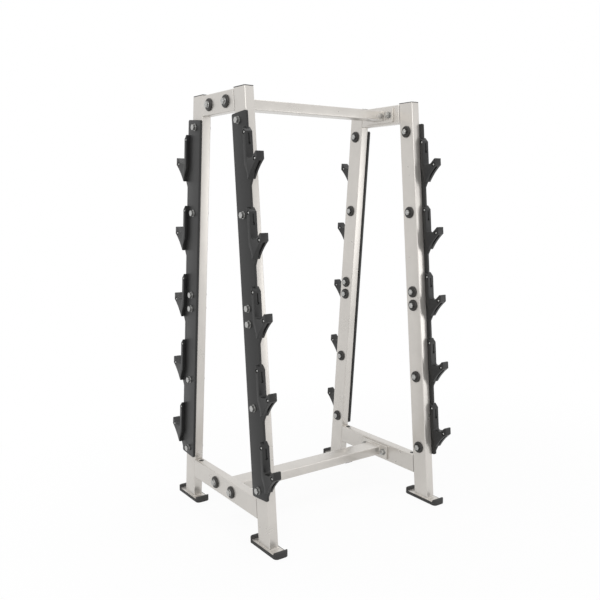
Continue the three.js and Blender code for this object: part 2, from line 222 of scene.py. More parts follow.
# Camera and stage
CAMERA_PLACE = (-1.7248, -2.3793, 1.2594)
CAMERA_AZIMUTH = 35.24
CAMERA_PITCH = 8.07
CAMERA_LENS = 43.54
CAMERA_REACH = 200
STAGE_SIZE = 40
FLOOR_COLOUR = (0.82, 0.82, 0.815)
FLOOR_ROUGHNESS = 0.9
FLOOR_SPECULAR = 0.1
FLOOR_GLOW = 0.64
FLOOR_GLOW_SEEN = 0.92
SHADOW_CENTRE = (0.35, -0.4, 0)
SHADOW_REACH = (0.5, 2.2)
WORLD_LIGHT = 0.7

# Each lamp's place, aim, diameter and power
LAMPS = {
    "key": ((-2.4, -3.4, 3.4), (0, 0, 0.9), 4.5, 85),
    "panel": ((1.6, -2.0, 0.84), (0, 0, 0.8), 1.3, 6.2),
    "top": ((0.3, 0.4, 4.2), (0, 0, 0.9), 2.5, 30),
}


# Outlines

def arc(centre, radius, start, end, steps):
    """Points along an arc, with both ends."""
    turns = [start + (end - start) * i / steps for i in range(steps + 1)]
    return [(centre[0] + radius * math.cos(a), centre[1] + radius * math.sin(a)) for a in turns]


def rounded_rectangle(width, height, radius, steps=6):
    """A counter-clockwise outline round the origin."""
    x, y = width / 2 - radius, height / 2 - radius
    centres = ((x, y), (-x, y), (-x, -y), (x, -y))
    return [p for i, c in enumerate(centres) for p in arc(c, radius, i * QUARTER, (i + 1) * QUARTER, steps)]


def filleted(corners):
    """A closed outline from (x, y, radius) corners, each rounded by its radius."""
    outline = []
    for i, (x, y, radius) in enumerate(corners):
        here = Vector((x, y))
        before = Vector(corners[i - 1][:2])
        after = Vector(corners[(i + 1) % len(corners)][:2])
        back, on = (before - here).normalized(), (after - here).normalized()
        half = back.angle(on) / 2
        if radius == 0 or abs(half - QUARTER) < STRAIGHT_ANGLE:
            outline.append((x, y))
            continue
        reach = radius / math.tan(half)
        middle = here + (back + on).normalized() * (radius / math.sin(half))
        start, end = here + back * reach - middle, here + on * reach - middle
        turn = start.angle_signed(end)
        for k in range(FILLET_STEPS + 1):
            outline.append(tuple(middle + Matrix.Rotation(-turn * k / FILLET_STEPS, 2) @ start))
    return outline


def inset(outline, distance):
    """A counter-clockwise outline with every edge moved inwards."""
    inner = []
    for i, point in enumerate(outline):
        here = Vector(point)
        into = (here - Vector(outline[i - 1])).normalized()
        away = (Vector(outline[(i + 1) % len(outline)]) - here).normalized()
        n0, n1 = Vector((-into.y, into.x)), Vector((-away.y, away.x))
        miter = (n0 + n1) / max(1 + n0.dot(n1), MITER_LIMIT)
        inner.append(tuple(here + miter * distance))
    return inner


def bevel_run(low, high, bevel):
    """(inset, height) pairs of a rounded edge at both ends of a prism."""
    run = []
    for k in range(BEVEL_STEPS + 1):
        a = QUARTER * k / BEVEL_STEPS
        run.append((bevel * (1 - math.sin(a)), low + bevel * (1 - math.cos(a))))
    return run + [(i, high + low - z) for i, z in reversed(run)]


# Meshes

def keep_sharp(mesh):
    """Smooth faces, with edges sharper than a set angle kept crisp."""
    bm = bmesh.new()
    bm.from_mesh(mesh)
    for face in bm.faces:
        face.smooth = True
    for edge in bm.edges:
        edge.smooth = len(edge.link_faces) == 2 and edge.calc_face_angle(0) < SHARP_ANGLE
    bm.to_mesh(mesh)
    bm.free()
    return mesh


def mesh_of(name, points, faces):
    """A mesh with doubled points merged and its faces turned outwards."""
    mesh = bpy.data.meshes.new(name)
    mesh.from_pydata([tuple(p) for p in points], [], faces)
    bm = bmesh.new()
    bm.from_mesh(mesh)
    bmesh.ops.remove_doubles(bm, verts=bm.verts, dist=MERGE_DISTANCE)
    bmesh.ops.recalc_face_normals(bm, faces=bm.faces)
    bm.to_mesh(mesh)
    bm.free()
    return keep_sharp(mesh)


def loft(name, loops, ring=False):
    """Skins loops of equal counts, capped at both ends, or joined last to first when they form a ring."""
    count = len(loops[0])
    points = [p for loop in loops for p in loop]
    spans = len(loops) if ring else len(loops) - 1
    faces = []
    for j in range(spans):
        a, b = j * count, (j + 1) % len(loops) * count
        faces += [(a + i, a + (i + 1) % count, b + (i + 1) % count, b + i) for i in range(count)]
    if not ring:
        faces += [tuple(range(count))[::-1], tuple(range(len(points) - count, len(points)))]
    return mesh_of(name, points, faces)


def prism(name, outline, low, high, bevel, axis="Z"):
    """A prism with rounded edges. On axis X the outline is drawn in Y and Z."""
    put = {"Z": lambda x, y, z: (x, y, z), "X": lambda x, y, z: (z, x, y)}[axis]
    loops = []
    for distance, level in bevel_run(low, high, bevel):
        loops.append([put(x, y, level) for x, y in inset(outline, distance)])
    return loft(name, loops)


def lathe(name, profile, steps=48):
    """(radius, along) points turned about X. A profile that starts off the axis closes on itself."""
    on_axis = profile[0][0] == 0
    points, rows = [], []
    for radius, along in profile:
        sides = 1 if radius == 0 else steps
        rows.append(range(len(points), len(points) + sides))
        for k in range(sides):
            a = 2 * math.pi * k / steps
            points.append((along, radius * math.cos(a), radius * math.sin(a)))
    faces = []
    pairs = list(zip(rows, rows[1:])) + ([] if on_axis else [(rows[-1], rows[0])])
    for one, two in pairs:
        for k in range(steps):
            n = (k + 1) % steps
            ring = [one[k % len(one)], one[n % len(one)], two[n % len(two)], two[k % len(two)]]
            faces.append(tuple(dict.fromkeys(ring)))
    return mesh_of(name, points, [f for f in faces if len(f) > 2])


def linked(name, data):
    """A new object of the data, linked to the scene."""
    thing = bpy.data.objects.new(name, data)
    bpy.context.scene.collection.objects.link(thing)
    return thing


def boolean(mesh, tools, operation="DIFFERENCE"):
    """The mesh cut, joined or crossed with each tool in turn. The tools are used up."""
    body = linked("work", mesh)
    for tool in tools:
        cutter = linked("tool", tool)
        step = body.modifiers.new("step", "BOOLEAN")
        step.operation = operation
        step.solver = "EXACT"
        step.object = cutter
        done = bpy.data.meshes.new_from_object(body.evaluated_get(bpy.context.evaluated_depsgraph_get()))
        body.modifiers.clear()
        body.data = done
        bpy.data.objects.remove(cutter)
        bpy.data.meshes.remove(tool)
    result = body.data
    bpy.data.objects.remove(body)
    bm = bmesh.new()
    bm.from_mesh(result)
    bmesh.ops.remove_doubles(bm, verts=bm.verts, dist=MERGE_DISTANCE)
    bmesh.ops.dissolve_degenerate(bm, edges=bm.edges, dist=MERGE_DISTANCE)
    bm.to_mesh(result)
    bm.free()
    return keep_sharp(result)


def joined(name, meshes):
    """One mesh that holds the given ones side by side. They are used up."""
    bm = bmesh.new()
    for mesh in meshes:
        bm.from_mesh(mesh)
    result = bpy.data.meshes.new(name)
    bm.to_mesh(result)
    bm.free()
    for mesh in meshes:
        bpy.data.meshes.remove(mesh)
    return result


def moved(mesh, matrix):
    """The mesh itself, moved by the matrix."""
    mesh.transform(matrix)
    return mesh


def rod(length, radius, centre):
    """A plain cylinder along X, for cutting with."""
    half = length / 2
    profile = [(0, -half), (radius, -half), (radius, half), (0, half)]
    return moved(lathe("rod", profile, steps=32), Matrix.Translation(centre))


# Materials

# The part of a noise's range that its values fill, and the two reliefs of a finish
NOISE_SPAN = (0.3, 0.7)
GRAIN_HEIGHT = 0.1 * MM
SOFT_HEIGHT = 0.2 * MM
SOFT_TIMES_WIDER = 6


def new_material(name):
    material = bpy.data.materials.new(name)
    material.use_nodes = True
    return material, material.node_tree.nodes, material.node_tree.links


def noise(nodes, links, scale, detail=4):
    """Noise over the object's own coordinates, so that it stays with the piece."""
    place = nodes.get("place") or nodes.new("ShaderNodeTexCoord")
    place.name = "place"
    texture = nodes.new("ShaderNodeTexNoise")
    texture.inputs["Scale"].default_value = scale
    texture.inputs["Detail"].default_value = detail
    links.new(place.outputs["Object"], texture.inputs["Vector"])
    return texture.outputs["Fac"]


def spread(nodes, links, source, low, high):
    """Maps a noise to a range of values."""
    span = nodes.new("ShaderNodeMapRange")
    span.inputs["From Min"].default_value, span.inputs["From Max"].default_value = NOISE_SPAN
    span.inputs["To Min"].default_value = low
    span.inputs["To Max"].default_value = high
    links.new(source, span.inputs["Value"])
    return span.outputs["Result"]


def tint(nodes, links, source, dark, light):
    """A colour that runs from dark to light over a noise."""
    ramp = nodes.new("ShaderNodeValToRGB")
    for element, position, colour in zip(ramp.color_ramp.elements, NOISE_SPAN, (dark, light)):
        element.position = position
        element.color = (*colour, 1)
    links.new(source, ramp.inputs["Fac"])
    return ramp.outputs["Color"]


def bump(nodes, links, source, strength, distance, under=None):
    """A relief from a noise, over another relief if one is given."""
    relief = nodes.new("ShaderNodeBump")
    relief.inputs["Strength"].default_value = strength
    relief.inputs["Distance"].default_value = distance
    links.new(source, relief.inputs["Height"])
    if under is not None:
        links.new(under, relief.inputs["Normal"])
    return relief.outputs["Normal"]


def surface(name, dark, light, gloss, grain_scale, grain, metallic=0.0, ior=1.5, patch_scale=14):
    """A finish with drifting colour and gloss, and a fine grain over a soft unevenness."""
    material, nodes, links = new_material(name)
    shader = nodes["Principled BSDF"]
    shader.inputs["Metallic"].default_value = metallic
    shader.inputs["IOR"].default_value = ior
    patches = noise(nodes, links, patch_scale)
    fine = noise(nodes, links, grain_scale, detail=2)
    broad = noise(nodes, links, grain_scale / SOFT_TIMES_WIDER, detail=1)
    links.new(tint(nodes, links, patches, dark, light), shader.inputs["Base Color"])
    links.new(spread(nodes, links, patches, *gloss), shader.inputs["Roughness"])
    soft = bump(nodes, links, broad, grain / 2, SOFT_HEIGHT)
    links.new(bump(nodes, links, fine, grain, GRAIN_HEIGHT, soft), shader.inputs["Normal"])
    return material


# Each finish: its dark and light colour, gloss, scale and depth of grain, and what else it sets
FINISHES = {
    "frame_paint": dict(
        dark=(0.60, 0.575, 0.542), light=(0.64, 0.613, 0.578), gloss=(0.27, 0.34),
        grain_scale=900, grain=0.02, metallic=0.66),
    "plate_coat": dict(
        dark=(0.0175, 0.0175, 0.0175), light=(0.0215, 0.0215, 0.0214), gloss=(0.38, 0.46),
        grain_scale=1700, grain=0.15, ior=1.4),
    "saddle_plastic": dict(
        dark=(0.014, 0.014, 0.014), light=(0.018, 0.018, 0.0178), gloss=(0.34, 0.44),
        grain_scale=1900, grain=0.2, ior=1.42, patch_scale=30),
    "boot_rubber": dict(
        dark=(0.026, 0.025, 0.0245), light=(0.034, 0.033, 0.032), gloss=(0.6, 0.74),
        grain_scale=1200, grain=0.3, patch_scale=30),
    "cap_plastic": dict(
        dark=(0.008, 0.008, 0.0078), light=(0.013, 0.0128, 0.0125), gloss=(0.45, 0.6),
        grain_scale=1600, grain=0.25),
    "bezel_plastic": dict(
        dark=(0.015, 0.0135, 0.0115), light=(0.021, 0.019, 0.0165), gloss=(0.34, 0.46),
        grain_scale=1600, grain=0.2, patch_scale=60),
    "fastener_steel": dict(
        dark=(0.40, 0.40, 0.39), light=(0.50, 0.50, 0.488), gloss=(0.24, 0.38),
        grain_scale=900, grain=0.15, metallic=0.9, patch_scale=120),
    # A darker, greyer steel for the washers: painted shade standing in for the shadow of the hex head over
    # them
    "washer_steel_painted_shade": dict(
        dark=(0.27, 0.27, 0.264), light=(0.36, 0.36, 0.35), gloss=(0.34, 0.48),
        grain_scale=900, grain=0.2, metallic=0.9, patch_scale=120),
}

MATERIALS = {name: surface(name, **finish) for name, finish in FINISHES.items()}


# Placing pieces

def add(name, mesh, slot, matrix, stands_for=(), finish=None):
    """A piece in its place. It rides on the rack, and has the finish of its slot or one of its own."""
    if not mesh.materials:
        mesh.materials.append(MATERIALS[finish or slot])
    placed = mesh.copy()
    placed.transform(matrix)
    piece = linked(name, placed)
    bpy.context.view_layer.update()
    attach(piece, "root")
    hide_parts(*stands_for)


def end_matrix(end):
    """The rear end as drawn, or the front end, which is the rear one turned half round."""
    return Matrix.Rotation(math.pi if end == "front" else 0, 4, "Z")


def leaning_matrix(end):
    """The frame of the uprights: depth out from the middle of the tube, height along it."""
    return end_matrix(end) @ Matrix.Translation((0, STANCE_HALF_DEPTH, 0)) @ Matrix.Rotation(LEAN, 4, "X")


def across(end, side):
    """Which way along the end's own X a side lies."""
    return -1 if (side == "right") == (end == "front") else 1


CORNERS = [(end, side) for end in ("front", "rear") for side in ("left", "right")]


# Frame

def level_cut(height):
    """The height along the leaning upright, at a depth from its middle, of a level cut over the floor."""
    return lambda depth: (height - depth * math.sin(LEAN)) / math.cos(LEAN)


def tube_loops(width, height, low, high, put):
    """The closed ring of loops of a tube: out and in, with its two end rims eased."""
    outer = rounded_rectangle(width, height, TUBE_CORNER)
    eased = inset(outer, TUBE_END_BEVEL)
    inner = rounded_rectangle(width - 2 * TUBE_WALL, height - 2 * TUBE_WALL, TUBE_CORNER - TUBE_WALL)
    loops = []
    for outline, end, step in (
        (eased, low, 0), (outer, low, TUBE_END_BEVEL), (outer, high, -TUBE_END_BEVEL),
        (eased, high, 0), (inner, high, 0), (inner, low, 0),
    ):
        loops.append([put(x, y, end(y) + step) for x, y in outline])
    return loops


def upright_mesh():
    """A leaning upright, cut level at both ends."""
    top = RACK_HEIGHT - CAP_THICKNESS - GAP
    loops = tube_loops(
        TUBE_NARROW, TUBE_WIDE, level_cut(UPRIGHT_FOOT), level_cut(top), lambda x, y, z: (x, y, z))
    return loft("upright", loops, ring=True)


def crossmember_mesh(name, centre_z, vented):
    """A crossmember mitred to the leaning uprights, with two vent holes in its top if it is vented."""
    flank = (TUBE_WIDE / 2 + GAP) / math.cos(LEAN)

    def reach(y):
        return STANCE_HALF_DEPTH - flank - MITRE_SEAM - (centre_z + y) * math.tan(LEAN)

    loops = tube_loops(
        TUBE_NARROW, TUBE_WIDE, lambda y: -reach(y), reach, lambda x, y, z: (x, z, y))
    mesh = loft(name, loops, ring=True)
    if not vented:
        return mesh
    vents = []
    for way in (-1, 1):
        place = Matrix.Translation((0, way * VENT_FROM_MIDDLE, TUBE_WIDE / 2))
        bore = rod(TUBE_WIDE / 2, VENT_DIAMETER / 2, (0, 0, 0))
        vents.append(moved(bore, place @ Matrix.Rotation(QUARTER, 4, "Y")))
    return boolean(mesh, vents)


def vent_plug_mesh():
    """The black plug that closes a vent: a shallow button just under the face of the tube."""
    radius, edge = VENT_DIAMETER / 2 - VENT_PLUG_PLAY, VENT_PLUG_EDGE
    low, high = TUBE_WIDE / 2 - VENT_PLUG_DEPTH, TUBE_WIDE / 2 - VENT_PLUG_SUNK
    profile = [(0, low), (radius, low), (radius, high - edge), (radius - edge, high), (0, high)]
    return moved(lathe("vent_plug", profile, steps=32), Matrix.Rotation(-QUARTER, 4, "Y"))


def spreader_tube_mesh():
    """A spreader, laid flat and cut square between its end plates."""
    reach = FRAME_INNER_X - GAP - END_PLATE[0]
    loops = tube_loops(
        TUBE_NARROW, TUBE_WIDE, lambda y: -reach, lambda y: reach, lambda x, y, z: (z, y, x))
    return loft("spreader_tube", loops, ring=True)


def weld_bead(name, path, radius):
    """A rippled bead of round section along a closed path."""
    points = [Vector(p) for p in path]
    dense = []
    for one, two in zip(points, points[1:] + points[:1]):
        steps = max(1, round((two - one).length / (WELD_PITCH / 3)))
        dense += [one.lerp(two, k / steps) for k in range(steps)]
    turns = [2 * math.pi * k / WELD_SIDES for k in range(WELD_SIDES)]
    side = (dense[1] - dense[-1]).normalized().orthogonal().normalized()
    travelled = 0.0
    loops = []
    for i, here in enumerate(dense):
        after = dense[(i + 1) % len(dense)]
        along = (after - dense[i - 1]).normalized()
        side = (side - along * side.dot(along)).normalized()
        up = along.cross(side)
        swell = radius * (1 + WELD_RIPPLE * math.sin(2 * math.pi * travelled / WELD_PITCH))
        loops.append([here + (side * math.cos(a) + up * math.sin(a)) * swell for a in turns])
        travelled += (after - here).length
    return loft(name, loops, ring=True)


def crossmember_height(level):
    """The height of a crossmember's middle."""
    low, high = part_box(f"crossmember_{level}_left")
    return (low.z + high.z) / 2


def build_frame():
    upright = upright_mesh()
    for end, side in CORNERS:
        corner = f"{end}_{side}"
        place = leaning_matrix(end) @ Matrix.Translation((across(end, side) * FRAME_X, 0, 0))
        add(f"upright_tube_{corner}", upright, "frame_paint", place, [f"upright_{corner}"])
    spreader = spreader_tube_mesh()
    thickness, width, height = END_PLATE
    plate_outline = rounded_rectangle(width, height, END_PLATE_CORNER)
    end_plate = prism("end_plate", plate_outline, -thickness / 2, thickness / 2, STEEL_BEVEL, "X")
    plate_x = FRAME_INNER_X - GAP - thickness / 2
    bead_path = [(0, y, z) for y, z in rounded_rectangle(TUBE_WIDE, TUBE_NARROW, TUBE_CORNER, steps=3)]
    bead = weld_bead("end_weld", bead_path, END_WELD_RADIUS)
    bead_x = FRAME_INNER_X - GAP - thickness - END_WELD_OFFSET
    plug = vent_plug_mesh()
    for level in ("top", "bottom"):
        z = crossmember_height(level)
        crossmember = crossmember_mesh(f"crossmember_{level}", z, level == "bottom")
        for way, side in ((-1, "left"), (1, "right")):
            add(f"crossmember_tube_{level}_{side}", crossmember, "frame_paint",
                Matrix.Translation((way * FRAME_X, 0, z)), [f"crossmember_{level}_{side}"])
            if level == "bottom":
                for end, along in (("front", -1), ("rear", 1)):
                    add(f"vent_plug_{side}_{end}", plug, "cap_plastic",
                        Matrix.Translation((way * FRAME_X, along * VENT_FROM_MIDDLE, z)))
            add(f"end_plate_{level}_{side}", end_plate, "frame_paint",
                Matrix.Translation((way * plate_x, 0, z)))
            add(f"end_weld_{level}_{side}", bead, "frame_paint", Matrix.Translation((way * bead_x, 0, z)))
        add(f"spreader_tube_{level}", spreader, "frame_paint",
            Matrix.Translation((0, 0, z)), [f"spreader_{level}"])


# Caps and feet

def cap_mesh():
    """A cap: a level lid over the tube's end, and a plug in the tube."""
    lid_outline = rounded_rectangle(TUBE_NARROW, TUBE_WIDE, TUBE_CORNER)
    low, high = RACK_HEIGHT - CAP_THICKNESS - GAP, RACK_HEIGHT
    loops = []
    for distance, level in bevel_run(low, high, CAP_BEVEL):
        loops.append([(x, y, level_cut(level)(y)) for x, y in inset(lid_outline, distance)])
    clear = 2 * (TUBE_WALL + GAP)
    plug_outline = rounded_rectangle(TUBE_NARROW - clear, TUBE_WIDE - clear, TUBE_CORNER - TUBE_WALL)
    plug = [[(x, y, level_cut(level)(y)) for x, y in plug_outline]
            for level in (low - CAP_PLUG_DEPTH, low + CAP_THICKNESS / 2)]
    return joined("cap", [loft("lid", loops), loft("plug", plug)])


def boot_mesh():
    """A boot: low along the sides, with a raised lip at each end that laps over the foot plate."""
    width, length = BOOT_SIZE
    outer = rounded_rectangle(width, length, BOOT_CORNER, steps=8)
    inner = rounded_rectangle(*BOOT_POCKET, FOOT_PLATE_CORNER, steps=8)
    body = prism("boot", outer, 0, BOOT_LIP_HEIGHT, BOOT_BEVEL)
    pocket = prism("pocket", inner, BOOT_FLOOR, UPRIGHT_FOOT, BOOT_POCKET_BEVEL)
    slope = (BOOT_LIP_BASE - BOOT_LIP_TOP) / (BOOT_LIP_HEIGHT - BOOT_BAND_HEIGHT)
    low, high = BOOT_BAND_HEIGHT, 2 * BOOT_LIP_HEIGHT
    base = length / 2 - BOOT_LIP_BASE
    lip = base + slope * (high - low)
    relief_outline = filleted([
        (-base, low, BOOT_LIP_FILLET), (base, low, BOOT_LIP_FILLET), (lip, high, 0), (-lip, high, 0)])
    relief = prism("relief", relief_outline, -width, width, CUTTER_BEVEL, "X")
    return boolean(body, [pocket, relief])


def build_feet():
    cap = cap_mesh()
    boot = boot_mesh()
    plate_size = [length - 2 * GAP for length in BOOT_POCKET]
    plate_base = BOOT_FLOOR + GAP
    foot_plate = prism(
        "foot_plate", rounded_rectangle(*plate_size, FOOT_PLATE_CORNER),
        plate_base, plate_base + FOOT_PLATE_THICKNESS, STEEL_BEVEL)
    weld_outline = rounded_rectangle(TUBE_NARROW, TUBE_WIDE / math.cos(LEAN), TUBE_CORNER, steps=3)
    weld_shift = -UPRIGHT_FOOT * math.tan(LEAN)
    weld_path = [(x, y + weld_shift, UPRIGHT_FOOT) for x, y in weld_outline]
    weld = weld_bead("foot_weld", weld_path, FOOT_WELD_RADIUS)
    for end, side in CORNERS:
        corner = f"{end}_{side}"
        step = Matrix.Translation((across(end, side) * FRAME_X, 0, 0))
        level = end_matrix(end) @ step @ Matrix.Translation((0, STANCE_HALF_DEPTH, 0))
        add(f"cap_{corner}", cap, "cap_plastic", leaning_matrix(end) @ step, [f"upright_cap_{corner}"])
        add(f"boot_{corner}", boot, "boot_rubber", level, [f"rubber_boot_{corner}"])
        add(f"foot_plate_steel_{corner}", foot_plate, "frame_paint", level, [f"foot_plate_{corner}"])
        add(f"foot_weld_{corner}", weld, "frame_paint", level)


# Hooks and saddles

def nose_heights():
    """Where the hooks' noses lie along the upright, from the top down."""
    pitch = (FIRST_NOSE - LAST_NOSE) / (HOOK_COUNT - 1)
    return [FIRST_NOSE - i * pitch for i in range(HOOK_COUNT)]


def bolt_heights():
    """Where the hook plate's bolts lie along the upright, from the top down."""
    top, bottom = PLATE_TOP - PLATE_BOLT_INSET, PLATE_BOTTOM + PLATE_BOLT_INSET
    middle = (PLATE_TOP + PLATE_BOTTOM) / 2
    below = middle - MIDDLE_BOLT_PITCH
    return [top, (top + middle) / 2, middle, below, (below + bottom) / 2, bottom]


def inset_corners(lines):
    """Where each line of a run meets the next, each line moved to its right by an inset."""
    shifted = []
    for start, end, distance in lines:
        along = (Vector(end) - Vector(start)).normalized()
        shifted.append((Vector(start) + Vector((along.y, -along.x)) * distance, along))
    corners = []
    for (p, d), (q, e) in zip(shifted, shifted[1:]):
        cross = d.x * e.y - d.y * e.x
        apart = q - p
        corners.append(tuple(p + d * ((apart.x * e.y - apart.y * e.x) / cross)))
    return corners


def hook_steel(distance):
    """The corners of a hook's steel, one wall inside the saddle, from the plate's edge to its root."""
    return inset_corners([
        ((SADDLE_WALL, SADDLE_RISE), (SADDLE_WALL, -RAMP_RISE), distance),
        ((SADDLE_WALL, -RAMP_RISE), (CRADLE_END, -RAMP_RISE), distance),
        ((CRADLE_END, -RAMP_RISE), (RAMP_END, 0), distance),
        ((NOSE_END, 0), (NOSE_END, -NOSE_FACE), distance),
        ((NOSE_END, -NOSE_FACE), (TAIL_FRONT, -TAIL_DROP), HOOK_RECESS),
        ((TAIL_FRONT, -TAIL_DROP), (0, -HOOK_ROOT_DROP), 0),
    ])


def hook_plate_mesh():
    """The hook plate, drawn from its foot up the hooks on its front edge and down its straight back."""
    foot = PLATE_BOTTOM - PLATE_FOOT
    corners = [(-PLATE_BACK, foot, PLATE_CORNER), (PLATE_FRONT, foot, PLATE_CORNER)]
    for nose in reversed(nose_heights()):
        corners.append((PLATE_FRONT, nose - HOOK_ROOT_DROP, HOOK_ROOT_FILLET))
        for (out, up), fillet in zip(reversed(hook_steel(SADDLE_WALL)), HOOK_FILLETS):
            corners.append((PLATE_FRONT + out, nose + up, fillet))
    corners += [(PLATE_FRONT, PLATE_TOP, PLATE_CORNER), (-PLATE_BACK, PLATE_TOP, PLATE_CORNER)]
    half = PLATE_THICKNESS / 2
    return prism("hook_plate", filleted(corners), -half, half, STEEL_BEVEL, "X")


def hollow(start, end, depth):
    """Points between two corners, on a curve that bows to the left of the way between them."""
    a, b = Vector(start), Vector(end)
    along = (b - a).normalized()
    control = (a + b) / 2 + Vector((-along.y, along.x)) * 2 * depth
    points = []
    for k in range(1, HOLLOW_STEPS):
        t = k / HOLLOW_STEPS
        x, y = a * (1 - t) ** 2 + control * (2 * t * (1 - t)) + b * t ** 2
        points.append((x, y, 0))
    return points


def saddle_outline():
    """A saddle's side view: down its back, along the underside and up over the cradle."""
    return filleted([
        (-SADDLE_LAP, SADDLE_RISE, SADDLE_CORNER),
        (-SADDLE_LAP, -LAP_DROP, SADDLE_BEND),
        (TAIL_BACK, TAIL_HEIGHT - TAIL_DROP, SADDLE_BEND),
        (TAIL_BACK, -TAIL_DROP, SADDLE_CORNER),
        (TAIL_FRONT, -TAIL_DROP, SADDLE_EDGE),
        *hollow((TAIL_FRONT, -TAIL_DROP), (NOSE_END, -NOSE_FACE), UNDERSIDE_HOLLOW),
        (NOSE_END, -NOSE_FACE, SADDLE_CORNER),
        (NOSE_END, NOSE_CROWN, SADDLE_CORNER),
        (RAMP_END, NOSE_CROWN, SADDLE_EDGE),
        (CRADLE_END, -RAMP_RISE, RAMP_FOOT_FILLET),
        (SADDLE_WALL, -RAMP_RISE, WALL_FOOT_FILLET),
        (SADDLE_WALL, SADDLE_RISE - SADDLE_CHAMFER, SADDLE_EDGE),
    ])


def saddle_slot():
    """The room for the hook plate, out past the saddle's back, top and bottom."""
    arm_top, arm_floor, arm_nose = hook_steel(SADDLE_WALL - GAP)[:3]
    below, behind, above = -1.2 * TAIL_DROP, -3 * SADDLE_LAP, 1.2 * SADDLE_RISE
    half = PLATE_THICKNESS / 2 + GAP
    outline = [(behind, below), (arm_nose[0], below), arm_nose, arm_floor, arm_top,
               (arm_top[0], above), (behind, above)]
    return prism("slot", outline, -half, half, CUTTER_BEVEL, "X")


def saddle_mesh(way):
    """The plastic saddle: slotted over the hook, with a groove and a hole down its face and screw seats."""
    middle = way * SADDLE_SHIFT
    low, high = middle - SADDLE_WIDTH / 2, middle + SADDLE_WIDTH / 2
    body = prism("saddle", saddle_outline(), low, high, SADDLE_BEVEL, "X")
    ear_outline = arc(SCREW_PLACES[0], EAR_RADIUS, 0, 2 * math.pi, steps=40)[:-1]
    body = boolean(body, [prism("ear", ear_outline, low, high, SADDLE_BEVEL, "X")], "UNION")
    groove_back, groove_front = SADDLE_WALL - GROOVE_DEPTH, 2 * SADDLE_WALL
    groove_low, groove_high = GROOVE_SPAN
    groove_outline = filleted([
        (groove_back, groove_low, 0), (groove_front, groove_low, 0),
        (groove_front, groove_high, 0), (groove_back, groove_high, GROOVE_END_FILLET)])
    groove = prism(
        "groove", groove_outline, middle - GROOVE_HALF_WIDTH, middle + GROOVE_HALF_WIDTH, GROOVE_BEVEL, "X")
    hole = moved(rod(2 * SADDLE_WALL, HOLE_RADIUS, (0, 0, 0)), Matrix.Rotation(QUARTER, 4, "Z"))
    hole = moved(hole, Matrix.Translation((middle, HOLE_CENTRE, HOLE_HEIGHT)))
    cutters = [saddle_slot(), groove, hole]
    for out, up in SCREW_PLACES:
        for face in (low, high):
            cutters.append(rod(2 * SCREW_SEAT_DEPTH, SCREW_SEAT_DIAMETER / 2, (face, out, up)))
    return boolean(body, cutters)


def saddle_screws_mesh(way):
    """The four button-head screws of a saddle, two on each side, with a driver socket."""
    radius, height = SCREW_DIAMETER / 2, SCREW_SEAT_DEPTH + SCREW_PROUD
    profile = [(0, 0), (radius, 0), (radius, SCREW_RIM)]
    # The dome, as far as the mouth of the socket
    for k in range(1, 5):
        a = QUARTER * k / 6
        profile.append((radius * math.cos(a), SCREW_RIM + (height - SCREW_RIM) * math.sin(a)))
    profile += [(SOCKET_MOUTH, height), (SOCKET_RADIUS, SOCKET_FLOOR), (0, SOCKET_FLOOR)]
    seat = SADDLE_WIDTH / 2 - SCREW_SEAT_DEPTH + SCREW_LIFT
    screws = []
    for out, up in SCREW_PLACES:
        for face in (-1, 1):
            turn = Matrix.Rotation(0 if face > 0 else math.pi, 4, "Z")
            place = Matrix.Translation((way * SADDLE_SHIFT + face * seat, out, up))
            screws.append(moved(lathe("screw", profile, steps=24), place @ turn))
    return joined("saddle_screws", screws)


def build_hooks():
    plate = hook_plate_mesh()
    saddles = {way: (saddle_mesh(way), saddle_screws_mesh(way)) for way in (-1, 1)}
    for end, side in CORNERS:
        corner = f"{end}_{side}"
        way = across(end, side)
        saddle, screws = saddles[way]
        place = leaning_matrix(end) @ Matrix.Translation((way * PLATE_X, 0, 0))
        add(f"hook_steel_{corner}", plate, "plate_coat", place, [f"hook_plate_{corner}"])
        for i, nose in enumerate(nose_heights(), 1):
            seat = place @ Matrix.Translation((0, PLATE_FRONT, nose))
            add(f"bar_saddle_{corner}_{i}", saddle, "saddle_plastic", seat, [f"saddle_{corner}_{i}"])
            add(f"saddle_screws_{corner}_{i}", screws, "fastener_steel", seat)


# Fasteners, drawn out along +X from the face that they seat on

def hexagon(low, high):
    """A hex prism whose outer corners are turned off in a cone."""
    corner = HEX_FLATS / math.sqrt(3)
    flats = [(corner * math.cos(a), corner * math.sin(a)) for a in (math.pi / 3 * k for k in range(6))]
    block = prism("hex", flats, low, high, HEX_BEVEL, "X")
    face, reach = HEX_FLATS / 2 - HEX_FACE_INSET, corner + HEX_CLEAR
    drop = HEX_CHAMFER * (reach - face) / (corner - face)
    profile = [(0, low), (reach, low), (reach, high - drop), (face, high), (0, high)]
    return boolean(block, [lathe("turned", profile)], "INTERSECT")


def washer_mesh():
    radius, thickness, edge = WASHER_RADIUS, WASHER_THICKNESS, WASHER_EDGE
    return lathe("washer", [
        (SHANK, 0), (radius - edge, 0), (radius, edge),
        (radius, thickness - edge), (radius - edge, thickness), (SHANK, thickness)])


def head_mesh():
    """A hex head, with the thin round face under it that bears on the washer."""
    low, high = WASHER_THICKNESS, WASHER_THICKNESS + 2 * HEAD_COLLAR
    collar = lathe("collar", [(0, low), (HEX_FLATS / 2, low), (HEX_FLATS / 2, high), (0, high)])
    head = hexagon(WASHER_THICKNESS + HEAD_COLLAR, WASHER_THICKNESS + HEAD_HEIGHT)
    return joined("head", [collar, head])


